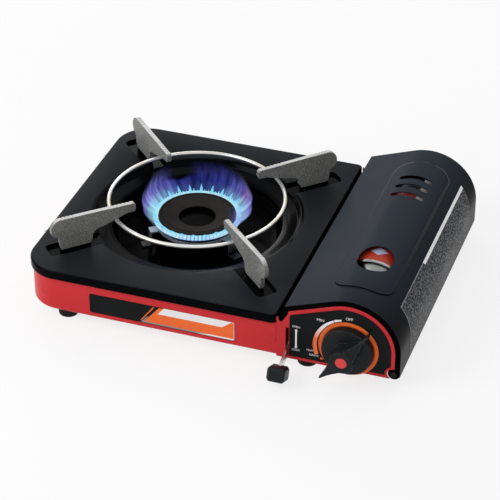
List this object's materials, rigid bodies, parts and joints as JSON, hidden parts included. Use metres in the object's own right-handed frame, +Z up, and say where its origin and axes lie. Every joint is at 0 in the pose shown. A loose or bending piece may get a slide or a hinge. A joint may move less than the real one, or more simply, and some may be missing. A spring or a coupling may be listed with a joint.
{
  "type": "portable gas stove",
  "caption": "Tabletop cassette stove: pressed case, burner well, lift-off trivet, hinged cartridge lid, dial knob and lock lever.",
  "frame": {"origin": "on the table, under the middle of the whole stove's bounding box", "axes": "+X from the burner towards the cartridge bay, +Y from the knob's face to the back, +Z up"},
  "size_m": [0.3501, 0.2971, 0.0833],
  "materials": {
    "red_paint": "semi-gloss powder coat",
    "charcoal_paint": "fine satin texture coat",
    "black_enamel": "glossy vitreous enamel",
    "zinc_steel": "satin zinc-plated sheet",
    "bright_steel": "bright nickel plate",
    "dark_iron": "dark heat-stained casting",
    "leg_enamel": "matt grey sintered coat",
    "brass": "machined",
    "rubber": "matt",
    "black_plastic": "moulded satin gloss",
    "black_print": "smooth printed film",
    "orange_print": "smooth print",
    "red_plastic": "smooth insert",
    "nylon": "natural nylon",
    "ceramic": null,
    "silicone": "flexible sleeve",
    "can_paint": "printed tinplate",
    "tinplate": "bare tinplate"
  },
  "bodies": {
    "stove": {"body_case": "red_paint", "top_plate": "charcoal_paint", "drip_bowl": "black_enamel", "bay_partition": "zinc_steel", "hinge_brackets": "zinc_steel", "hinge_pins": "bright_steel", "foot_front_left": "rubber", "foot_front_right": "rubber", "foot_back_left": "rubber", "foot_back_right": "rubber", "plate_screws": "zinc_steel", "front_badge": "black_print", "control_panel": "black_print", "dial_ring": "orange_print", "burner_body": "zinc_steel", "burner_head": "dark_iron", "burner_stand": "zinc_steel", "mixing_tube": "zinc_steel", "air_shutter": "zinc_steel", "gas_jet": "brass", "jet_bracket": "zinc_steel", "gas_pipe": "bright_steel", "regulator_body": "zinc_steel", "regulator_cover": "zinc_steel", "regulator_screws": "bright_steel", "igniter": "black_plastic", "igniter_plunger": "nylon", "ignition_lead": "silicone", "electrode_holder": "ceramic", "electrode_pin": "bright_steel", "lever_bracket": "zinc_steel", "lever_pin": "bright_steel", "carriage_guides": "zinc_steel"},
    "lid": {"lid_shell": "charcoal_paint", "lid_label": "black_print"},
    "trivet": {"trivet_ring": "bright_steel", "trivet_leg_back_right": "leg_enamel", "trivet_leg_back_left": "leg_enamel", "trivet_leg_front_left": "leg_enamel", "trivet_leg_front_right": "leg_enamel"},
    "knob": {"knob": "black_plastic", "knob_cap": "red_plastic", "valve_spindle": "bright_steel", "igniter_cam": "nylon"},
    "lever": {"lever_arm": "bright_steel", "lever_grip": "black_plastic", "crank_pin": "bright_steel"},
    "cartridge": {"cartridge_carriage": "zinc_steel", "can_wall": "can_paint", "can_dome": "tinplate", "can_base": "tinplate", "can_collar": "tinplate", "can_stem": "nylon"}
  },
  "joints": [
    {"name": "lid_hinge", "type": "hinge", "parent": "stove", "child": "lid", "pos_m": [0.1686, 0, 0.0146], "axis": [0, 1, 0], "range_deg": [0, 100]},
    {"name": "knob_turn", "type": "hinge", "parent": "stove", "child": "knob", "pos_m": [0.1288, -0.12, 0.0332], "axis": [0, 1, 0], "range_deg": [0, 135]},
    {"name": "lever_swing", "type": "hinge", "parent": "stove", "child": "lever", "pos_m": [0.074, -0.076, 0.027], "axis": [-1, 0, 0], "range_deg": [0, 30]},
    {"name": "carriage_slide", "type": "slide", "parent": "stove", "child": "cartridge", "axis": [0, 1, 0], "range_m": [0, 0.00725]},
    {"name": "trivet_lift", "type": "slide", "parent": "stove", "child": "trivet", "axis": [0, 0, 1], "range_m": [0, 0.15]}
  ],
  "couplings": [
    {"joint": "lever_swing", "follows": "carriage_slide", "rad_per_m": 72.2}
  ]
}
